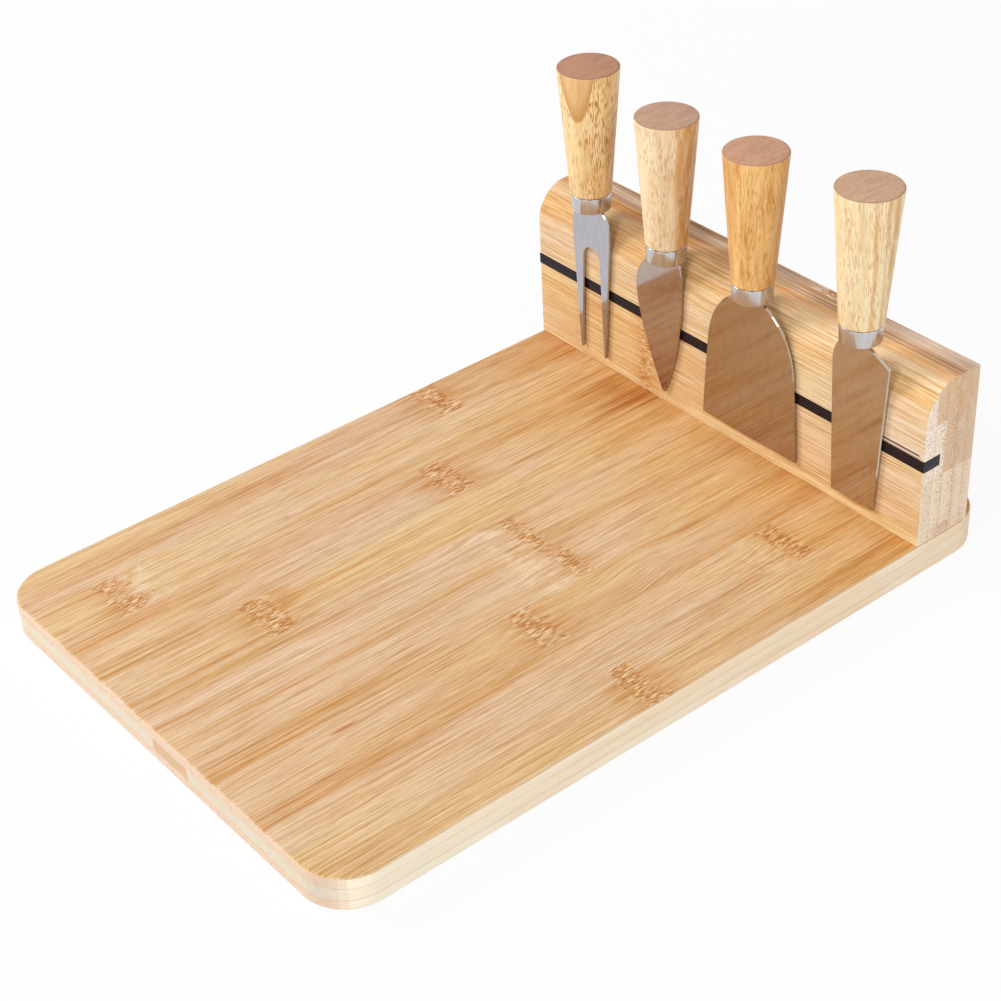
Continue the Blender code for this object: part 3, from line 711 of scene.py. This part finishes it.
def cutAway(piece, cutter):
    bpy.context.view_layer.objects.active = piece
    modifier = piece.modifiers.new("cut", "BOOLEAN")
    modifier.object = cutter
    modifier.operation = "DIFFERENCE"
    modifier.solver = "EXACT"
    bpy.ops.object.modifier_apply(modifier=modifier.name)
    bpy.data.objects.remove(cutter)


def cutSlot(piece, low, high):  # the tang's pocket
    bpy.ops.mesh.primitive_cube_add(size=1, location=(low + high) / 2, scale=high - low)
    cutAway(piece, bpy.context.object)


# Tools

toolNames = ("fork", "pointed_knife", "spade_knife", "flat_knife")
handleLooks = {
    # stripes: place across the handle as the photograph sees it, half width, strength
    # the stripes at 0.008 or more across, by the right edge, are painted shade and painted reflection of the
    # board over the wood figure
    "fork": {"seed": 501, "tone": (0.87, 0.610, 0.290), "light": (0.95, 0.735, 0.410), "pores": 0.95,
             "poreFrom": 0.550, "figure": 0.25, "crown": (1.0, 0.91, 0.88), "flame": True,
             "stripes": [(0.0085, 0.0045, 0.55)]},
    "pointed_knife": {"seed": 502, "tone": (0.87, 0.665, 0.395), "light": (0.92, 0.77, 0.53), "pores": 0.46,
                      "poreFrom": 0.545, "figure": 0.20, "crown": (1.13, 1.19, 1.30),
                      "stripes": [(0.0035, 0.0022, 0.45), (0.0084, 0.0064, 1.0)]},
    "spade_knife": {"seed": 503, "tone": (0.88, 0.510, 0.170), "light": (0.97, 0.650, 0.285), "pores": 0.55,
                    "poreFrom": 0.555, "figure": 0.85, "crown": (1.20, 1.17, 1.15),
                    "stripes": [(0.0100, 0.0046, 1.0), (0.0045, 0.0052, 0.35), (-0.0104, 0.0032, 0.80)]},
    "flat_knife": {"seed": 504, "tone": (0.89, 0.695, 0.400), "light": (0.94, 0.80, 0.52), "pores": 0.44,
                   "poreFrom": 0.560, "figure": 0.25, "crown": (1.22, 1.35, 1.38),
                   "stripes": [(0.0014, 0.0013, 0.55), (0.0056, 0.0010, 0.50), (0.0086, 0.0018, 0.65)]},
}
handleShape = {
    "sides": 96,
    "neckRadius": 0.0086,
    "crownRound": 0.0008,
    "footRound": 0.0007,
    "roundSteps": 5,
    "overFerrule": 0.0002,
    "tenonRadius": 0.0070,
    "tenonLength": 0.0058,
    "pocketWidth": 0.0066,
    "pocketDepth": 0.0020,
    "overTang": 0.0003,
}
handleFinish = {
    "rough": (0.48, 0.38),
    "crownRougher": 0.26,
    "shine": 0.25,
    "coat": 0.04,
    "coatRough": 0.30,
    "bump": (0.00006, 0.35),
}
handleGrain = {  # scales of the noises, per metre
    "fibre": (700.0, 700.0, 24.0),
    "drift": (60.0, 60.0, 45.0),
    "figure": (520.0, 520.0, 26.0),
    "cloud": (75.0, 75.0, 38.0),
    "pore": (2500.0, 2500.0, 240.0),
    "porePatch": (150.0, 150.0, 60.0),
    "rings": (110.0, 420.0, 5.0),
    "endDots": (1500.0, 1500.0, 10.0),
}
photoTurn = (0.80, 0.60)  # cosine and sine of the way the photograph looks at the handles
flameShape = {  # its edge is a parabola under the crown
    "aside": 0.0053,
    "drop": 0.0203,
    "curve": 470.0,
    "wobble": 0.006,
}
figureDrift = 0.007
stripeWobble = 0.004
ferruleShape = {
    "sides": 96,
    "wall": 0.0006,
    "lip": 0.00014,
    "lipSteps": 3,
    "bottomWall": 0.0006,
}
woodTones = {
    "pore": (0.50, 0.200, 0.048),
    "figureTone": (0.64, 0.310, 0.085),
    "flame": (0.60, 0.290, 0.085),
    "endGrain": (0.57, 0.330, 0.215),
    "endGrainDark": (0.49, 0.265, 0.165),
    "rim": (0.33, 0.170, 0.100),
}


def handleSide(tree, vector, dx, dy, z, fibre, topZ, look):
    # long grain with its figure, and the pores that show in it
    seed = look["seed"]
    turnX, turnY = photoTurn
    across = minus(tree, times(tree, dx, turnX), times(tree, dy, turnY))
    toward = plus(tree, times(tree, dx, -turnY), times(tree, dy, -turnX))
    color = ramp(tree, fibre, [(0.36, look["tone"]), (0.60, look["light"])])
    # wavy darker figure, in fine lines
    drift = minus(tree, grain(tree, vector, handleGrain["drift"], seed + 4, 1.0), 0.5)
    drift = times(tree, drift, figureDrift)
    wave = combine(tree, plus(tree, dx, drift), minus(tree, dy, drift), z)
    figure = grain(tree, wave, handleGrain["figure"], seed + 5, 2.0, 0.5)
    cloud = grain(tree, vector, handleGrain["cloud"], seed + 6, 1.5)
    where = fade(tree, cloud, 0.38, 0.56, 0.0, look["figure"])
    share = times(tree, fade(tree, figure, 0.46, 0.62, 0.2, 1.0), where)
    color = mixColor(tree, share, color, woodTones["figureTone"])
    # darker stripes; those by the right edge are painted shade and painted reflection of the board
    for place, half, strength in look["stripes"]:
        wobble = times(tree, minus(tree, cloud, 0.5), stripeWobble)
        distance = calc(tree, "ABSOLUTE", plus(tree, minus(tree, across, place), wobble))
        share = fade(tree, distance, half * 0.3, half, strength, 0.0)
        share = times(tree, share, fade(tree, figure, 0.36, 0.60, 0.55, 1.0))
        color = mixColor(tree, share, color, woodTones["figureTone"])
    pore = grain(tree, vector, handleGrain["pore"], seed + 8, 0.0)
    patch = grain(tree, vector, handleGrain["porePatch"], seed + 9, 1.0)
    pores = fade(tree, pore, look["poreFrom"], look["poreFrom"] + 0.10, 0.0, look["pores"])
    pores = times(tree, pores, fade(tree, patch, 0.36, 0.56, 0.25, 1.0))
    if "flame" in look:  # figure that opens towards the crown, darkest along its edge
        side = plus(tree, across, flameShape["aside"])
        wobble = times(tree, minus(tree, cloud, 0.5), flameShape["wobble"])
        rise = plus(tree, minus(tree, z, topZ - flameShape["drop"]), wobble)
        rise = minus(tree, rise, times(tree, times(tree, side, side), flameShape["curve"]))
        flame = times(tree, fade(tree, rise, 0.0, 0.0012), fade(tree, toward, 0.0, 0.003))
        core = fade(tree, rise, 0.0015, 0.012, 0.90, 0.42)
        color = mixColor(tree, times(tree, flame, core), color, woodTones["flame"])
        pores = times(tree, pores, minus(tree, 1.0, times(tree, flame, 0.8)))
    return mixColor(tree, pores, color, woodTones["pore"]), pores


def handleCrown(tree, vector, dx, dy, topRadius, look):  # end grain
    seed = look["seed"]
    rings = grain(tree, vector, handleGrain["rings"], seed + 12, 3.0, 0.6, 0.6)
    endDots = grain(tree, vector, handleGrain["endDots"], seed + 13, 2.0)
    end = ramp(tree, rings, [(0.35, woodTones["endGrainDark"]), (0.6, woodTones["endGrain"])])
    end = mixColor(tree, fade(tree, endDots, 0.52, 0.66, 0.0, 0.40), end, woodTones["rim"])
    end = mixColor(tree, fade(tree, endDots, 0.46, 0.34, 0.0, 0.35), end, woodTones["endGrain"])
    rim = fade(tree, hypotenuse(tree, dx, dy), topRadius * 0.92, topRadius * 0.98, 0.0, 0.7)
    return tint(tree, mixColor(tree, rim, end, woodTones["rim"]), look["crown"])


def handleMaterial(tool, axis, topZ, topRadius):
    look = handleLooks[tool]
    material, tree, shader = startMaterial(tool + "Wood")
    x, y, z = split(tree, coordinates(tree))
    dx = minus(tree, x, axis.x)
    dy = minus(tree, y, axis.y)
    vector = combine(tree, dx, dy, z)
    fibre = grain(tree, vector, handleGrain["fibre"], look["seed"], 3.0, 0.6)
    side, pores = handleSide(tree, vector, dx, dy, z, fibre, topZ, look)
    crown = fade(tree, split(tree, coordinates(tree, "Normal"))[2], 0.40, 0.8)
    color = mixColor(tree, crown, side, handleCrown(tree, vector, dx, dy, topRadius, look))
    finish = handleFinish
    rough = fade(tree, fibre, 0.3, 0.7, *finish["rough"])
    rough = plus(tree, rough, times(tree, crown, finish["crownRougher"]))
    feed(tree, shader, {"Base Color": color, "Roughness": rough, "Specular IOR Level": finish["shine"],
                        "Coat Weight": finish["coat"], "Coat Roughness": finish["coatRough"]})
    addBump(tree, shader, minus(tree, times(tree, fibre, 0.4), pores), *finish["bump"])
    return material


def makeHandle(tool):
    shape = handleShape
    low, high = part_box(f"{tool}_handle")
    axis = (low + high) / 2
    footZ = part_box(f"{tool}_ferrule")[1].z + shape["overFerrule"]
    topRadius = (high.x - low.x) / 2
    half = (high.z - footZ) / 2
    bpy.ops.mesh.primitive_cone_add(
        vertices=shape["sides"], radius1=shape["neckRadius"], radius2=topRadius, depth=2 * half,
        location=(axis.x, axis.y, footZ + half))
    piece = startPiece(tool + "Handle")
    roundEdges(piece, level(half), shape["crownRound"], shape["roundSteps"])
    roundEdges(piece, level(-half), shape["footRound"], shape["roundSteps"])
    shoulder = shape["neckRadius"] - shape["footRound"] - shape["tenonRadius"]
    pushEnd(piece, -half, shoulder, -shape["tenonLength"])
    foot = Vector((axis.x, axis.y, footZ - shape["tenonLength"]))
    top = Vector((axis.x, axis.y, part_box(f"{tool}_blade")[1].z + shape["overTang"]))
    reach = Vector((shape["pocketDepth"] / 2, shape["pocketWidth"] / 2, 0))
    cutSlot(piece, foot - reach - Vector((0, 0, cutOverrun)), top + reach)
    endPiece(piece, tool, handleMaterial(tool, axis, high.z, topRadius), [f"{tool}_handle"])


def makeFerrule(tool, material):
    shape = ferruleShape
    low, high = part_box(f"{tool}_ferrule")
    axis = (low + high) / 2
    radius = (high.x - low.x) / 2
    height = high.z - low.z
    bpy.ops.mesh.primitive_cylinder_add(vertices=shape["sides"], radius=radius, depth=height, location=axis)
    piece = startPiece(tool + "Ferrule")
    pushEnd(piece, height / 2, shape["wall"], shape["bottomWall"] - height)

    def outerRim(corners):
        wide = all(math.hypot(corner.x, corner.y) > radius - shape["wall"] / 2 for corner in corners)
        flat = abs(corners[0].z - corners[1].z) < touching
        return wide and flat

    roundEdges(piece, outerRim, shape["lip"], shape["lipSteps"])
    foot = Vector((axis.x, axis.y, low.z))
    slot = handleShape
    reach = Vector((slot["pocketDepth"] / 2, slot["pocketWidth"] / 2, shape["bottomWall"] * 1.5))
    cutSlot(piece, foot - reach, foot + reach)
    endPiece(piece, tool, material, [f"{tool}_ferrule"])


steelLook = {
    # each with its plain tone and the darker one along the brush marks
    "fork": ((0.49, 0.475, 0.505), (0.455, 0.440, 0.465)),
    # the three knives' warmer tones are partly the steel's own tone and partly painted reflection of the
    # orange board
    "pointed_knife": ((0.47, 0.378, 0.335), (0.44, 0.349, 0.308)),
    "spade_knife": ((0.485, 0.382, 0.302), (0.455, 0.353, 0.277)),
    "flat_knife": ((0.565, 0.472, 0.402), (0.530, 0.437, 0.370)),
    "ferrule": ((0.60, 0.575, 0.575), (0.54, 0.515, 0.510)),
    "bladeRough": 0.065,
    "bladeBrush": (40.0, 500.0, 160.0),
    "ferruleRough": 0.15,
    "ferruleBrush": (900.0, 900.0, 30.0),
    "ferruleSpread": 0.6,
    "bump": (0.000002, 0.2),
}


def steelMaterial(name, tones, rough, brushScale, seed, spread=0.0):
    material, tree, shader = startMaterial(name)
    vector = coordinates(tree)
    brush = grain(tree, vector, brushScale, seed, 2.0, 0.5)
    blotchNoise = grain(tree, vector, (55.0, 55.0, 40.0), seed + 3, 2.0)
    color = ramp(tree, brush, [(0.35, tones[1]), (0.6, tones[0])])
    rough = fade(tree, blotchNoise, 0.35, 0.7, rough, rough * 1.6)
    feed(tree, shader, {"Base Color": color, "Roughness": rough, "Metallic": 1.0})
    if spread:  # reflections spread up and down the turned surface
        feed(tree, shader, {"Anisotropic": spread, "Tangent": combine(tree, 0.02, 0.03, 1.0)})
    addBump(tree, shader, brush, *steelLook["bump"])
    return material


def makeTools():
    ferruleSteel = steelMaterial("ferruleSteel", steelLook["ferrule"], steelLook["ferruleRough"],
                                 steelLook["ferruleBrush"], 611, steelLook["ferruleSpread"])
    for number, tool in enumerate(toolNames):
        makeHandle(tool)
        makeFerrule(tool, ferruleSteel)
        bladeSteel = steelMaterial(tool + "Steel", steelLook[tool], steelLook["bladeRough"],
                                   steelLook["bladeBrush"], 601 + 3 * number)
        give(f"{tool}_blade", bladeSteel)
        print("tool made:", tool)


makeTools()


# Glue in the joints of board and block, a little below the faces

glueLook = {
    "tone": (0.62, 0.42, 0.25),
    "paler": (0.76, 0.57, 0.38),
    "rough": (0.42, 0.55),
    "bump": (0.00003, 0.3),
    "recess": 0.00004,
    "edgeRound": 0.0011,
    "edgeSteps": 3,
    "cornerRound": 0.019,
    "cornerSteps": 16,
    "screwHole": 0.0024,
    "screwHoleSides": 32,
    "drillLength": 0.010,
    "shoulderDrop": 0.0005,
}


def glueMaterial():
    look = glueLook
    material, tree, shader = startMaterial("driedGlue")
    cloud = grain(tree, coordinates(tree), (90.0, 90.0, 90.0), 701, 3.0)
    color = ramp(tree, cloud, [(0.35, look["tone"]), (0.62, look["paler"])])
    rough = fade(tree, cloud, 0.3, 0.7, *look["rough"])
    feed(tree, shader, {"Base Color": color, "Roughness": rough})
    addBump(tree, shader, cloud, *look["bump"])
    return material


def glueBox(name, low, high):  # a thin box between two glued faces
    bpy.ops.mesh.primitive_cube_add(size=1, location=(low + high) / 2, scale=high - low)
    piece = startPiece(name)
    bpy.ops.object.transform_apply()
    return piece


def roundEnds(piece, height):  # follows the board's rounded edge
    def endEdge(corners):
        return level(height)(corners) and abs(corners[0].x - corners[1].x) < touching

    roundEdges(piece, endEdge, glueLook["edgeRound"], glueLook["edgeSteps"])


def boardSheet(name, lowZ, highZ):  # between two layers of the board
    look = glueLook
    recess = Vector((look["recess"], look["recess"], 0))
    low = Vector((*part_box("core_strip_10")[0].xy, lowZ)) + recess
    high = Vector((*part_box("core_strip_1")[1].xy, highZ)) - recess
    piece = glueBox(name, low, high)

    def upright(corners):
        return abs(corners[0].z - corners[1].z) > (highZ - lowZ) / 2

    roundEdges(piece, upright, look["cornerRound"] - look["recess"], look["cornerSteps"])
    for number in range(1, screwLook["count"] + 1):  # holes for the screws
        screwLow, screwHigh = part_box(f"block_screw_{number}")
        middle = (screwLow + screwHigh) / 2
        bpy.ops.mesh.primitive_cylinder_add(
            vertices=look["screwHoleSides"], radius=look["screwHole"], depth=look["drillLength"],
            location=(middle.x, middle.y, (lowZ + highZ) / 2))
        cutAway(piece, bpy.context.object)
    return piece


def blockSheets():
    recess = glueLook["recess"]
    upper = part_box("block_front_ply_upper")
    plies = [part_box("block_front_ply_lower")] + [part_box(f"block_ply_{number}") for number in range(2, 6)]
    sheets = []
    for number, (front, back) in enumerate(zip(plies, plies[1:]), 1):
        low = Vector((front[1].x, front[0].y + recess, front[0].z + recess))
        high = Vector((back[0].x, front[1].y - recess, back[1].z - recess))
        if number == 1:  # the groove parts the first joint
            sheets.append(glueBox("glueFrontLower", low, Vector((high.x, high.y, front[1].z))))
            low.z = upper[0].z
            high.z = upper[1].z - recess
        elif number == 2:
            high.z -= glueLook["shoulderDrop"]
        sheets.append(glueBox(f"gluePly{number}", low, high))
    return sheets


def stripJoints(row, count):  # from the strip on the +Y side to the next
    recess = glueLook["recess"]
    joints = []
    for number in range(1, count):
        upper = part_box(f"{row}_{number}")
        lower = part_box(f"{row}_{number + 1}")
        low = Vector((upper[0].x + recess, lower[1].y, upper[0].z))
        high = Vector((upper[1].x - recess, upper[0].y, upper[1].z))
        if row == "bottom_strip":
            low.z += recess
        if row == "top_strip":
            high.z -= recess
        joint = glueBox(f"glue_{row}_{number}", low, high)
        if row != "core_strip":
            roundEnds(joint, high.z if row == "top_strip" else low.z)
        joints.append(joint)
    return joints


def makeGlue():
    pieces = []
    for row, count in (("top_strip", len(boardStrips)), ("core_strip", coreLook["strips"]),
                       ("bottom_strip", len(boardStrips))):
        pieces += stripJoints(row, count)
    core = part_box("core_strip_5")
    pieces.append(boardSheet("glueUnderCore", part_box("bottom_strip_5")[1].z, core[0].z))
    pieces.append(boardSheet("glueOverCore", core[1].z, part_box("top_strip_5")[0].z))
    pieces += blockSheets()
    bpy.ops.object.select_all(action="DESELECT")
    for piece in pieces:
        piece.select_set(True)
    bpy.context.view_layer.objects.active = pieces[0]
    bpy.ops.object.join()
    glue = bpy.context.object
    glue.name = "boardGlue"
    glue.data.materials.append(glueMaterial())
    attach(glue, "board")
    print("glue lines made")


makeGlue()


# Floor, light and camera

studio = {
    "floorSize": 6.0,
    "floorDrop": 0.0003,
    "nearRay": 0.0008,  # what leaves the underside passes the floor, so it isn't black from below
    "floorTone": (0.88, 0.88, 0.88),
    "floorRough": 0.9,
    "floorGlow": 0.92,
    "glowNear": 0.35,  # from here outwards the floor turns into the white background
    "glowFar": 1.3,
    "ambient": 0.33,
    "aim": (0.03, 0.0, 0.05),
    "key": {"place": (-0.645, 1.08, 0.845), "size": 0.5, "power": 14.5},
    "front": {"place": (-1.29, -0.30, 0.695), "size": 0.7, "power": 5.8},
    "fill": {"place": (-0.12, -1.275, 0.83), "size": 1.2, "power": 9.5},
}
cameraLook = {
    "lens": 79.540,
    "sensor": 36.0,
    "shiftX": 0.025,
    "shiftY": 0.050,
    "place": (-0.41649, -0.54527, 0.52569),
    "right": (0.77735, -0.62691, -0.05201),
    "down": (-0.40888, -0.44070, -0.79912),
    "ahead": (0.47806, 0.64247, -0.59891),
}


def seenWhite(tree, path):  # 1 for camera rays and for those in gloss and glass
    seen = calc(tree, "MAXIMUM", path.outputs["Is Camera Ray"], path.outputs["Is Glossy Ray"])
    return calc(tree, "MAXIMUM", seen, path.outputs["Is Transmission Ray"])


def mixShaders(tree, share, first, second):
    node = tree.nodes.new("ShaderNodeMixShader")
    tree.links.new(share, node.inputs[0])
    tree.links.new(first, node.inputs[1])
    tree.links.new(second, node.inputs[2])
    return node.outputs[0]


def makeFloor():
    bpy.ops.mesh.primitive_plane_add(size=studio["floorSize"], location=(0, 0, -studio["floorDrop"]))
    floor = bpy.context.object
    floor.name = "floor"
    material, tree, shader = startMaterial("paleFloor")
    feed(tree, shader, {"Base Color": studio["floorTone"], "Roughness": studio["floorRough"],
                        "Specular IOR Level": 0.0})
    glow = tree.nodes.new("ShaderNodeEmission")
    glow.inputs["Strength"].default_value = 1.0
    path = tree.nodes.new("ShaderNodeLightPath")
    away = hypotenuse(tree, *split(tree, coordinates(tree))[:2])
    glowShare = fade(tree, away, studio["glowNear"], studio["glowFar"], studio["floorGlow"], 1.0)
    share = times(tree, seenWhite(tree, path), glowShare)
    surface = mixShaders(tree, share, shader.outputs[0], glow.outputs[0])
    behind = tree.nodes.new("ShaderNodeNewGeometry").outputs["Backfacing"]
    near = calc(tree, "LESS_THAN", path.outputs["Ray Length"], studio["nearRay"])
    clear = tree.nodes.new("ShaderNodeBsdfTransparent")
    surface = mixShaders(tree, calc(tree, "MAXIMUM", behind, near), surface, clear.outputs[0])
    tree.links.new(surface, tree.nodes["Material Output"].inputs["Surface"])
    floor.data.materials.append(material)


def makeWorld():
    world = bpy.data.worlds.new("studioWorld")
    bpy.context.scene.world = world
    world.use_nodes = True
    tree = world.node_tree
    background = tree.nodes["Background"]
    background.inputs["Color"].default_value = (1, 1, 1, 1)
    seen = seenWhite(tree, tree.nodes.new("ShaderNodeLightPath"))
    strength = plus(tree, times(tree, seen, 1.0 - studio["ambient"]), studio["ambient"])
    tree.links.new(strength, background.inputs["Strength"])


def makeLight(name):
    look = studio[name]
    data = bpy.data.lights.new(name + "Light", "AREA")
    data.shape = "SQUARE"
    data.size = look["size"]
    data.energy = look["power"]
    light = bpy.data.objects.new(name + "Light", data)
    light.location = look["place"]
    aim = Vector(studio["aim"]) - light.location
    light.rotation_euler = aim.to_track_quat("-Z", "Y").to_euler()
    bpy.context.scene.collection.objects.link(light)


def makeCamera():
    data = bpy.data.cameras.new("camera")
    data.lens = cameraLook["lens"]
    data.sensor_width = cameraLook["sensor"]
    data.shift_x = cameraLook["shiftX"]
    data.shift_y = cameraLook["shiftY"]
    camera = bpy.data.objects.new("camera", data)
    columns = (Vector(cameraLook["right"]), -Vector(cameraLook["down"]), -Vector(cameraLook["ahead"]))
    turn = Matrix(columns).transposed().to_4x4()
    camera.matrix_world = Matrix.Translation(cameraLook["place"]) @ turn
    bpy.context.scene.collection.objects.link(camera)
    bpy.context.scene.camera = camera


makeFloor()
makeWorld()
for lightName in ("key", "front", "fill"):
    makeLight(lightName)
makeCamera()
bpy.context.scene.view_settings.view_transform = "Standard"
print("studio made")
